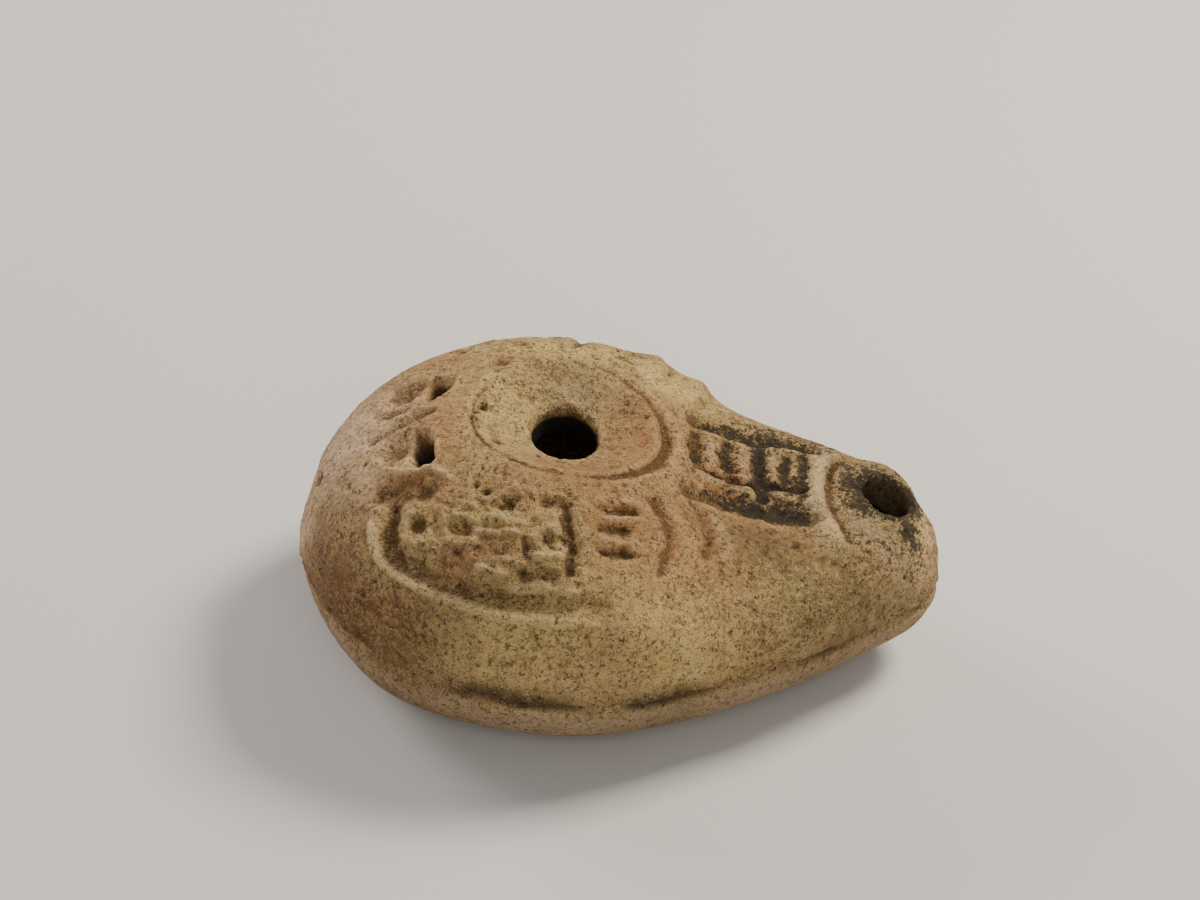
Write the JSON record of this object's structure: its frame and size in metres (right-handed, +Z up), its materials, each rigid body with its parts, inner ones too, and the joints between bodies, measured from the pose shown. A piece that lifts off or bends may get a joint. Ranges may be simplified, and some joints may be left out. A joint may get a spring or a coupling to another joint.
{
  "type": "oil lamp",
  "caption": "Ancient mould-made clay oil lamp: hollow egg-shaped body, sunken filling hole in a ringed dish, carved shoulders and a sooty nozzle with a wick hole.",
  "frame": {"origin": "on the table, under the middle of the lamp's length and width", "axes": "+X along the lamp to the nozzle, +Z up"},
  "size_m": [0.09, 0.0656, 0.0372],
  "materials": {
    "fired_clay": "unglazed buff to reddish fired clay, rough and pitted, with soot on the nozzle"
  },
  "bodies": {
    "root": {"lamp_body": "fired_clay"}
  },
  "joints": []
}
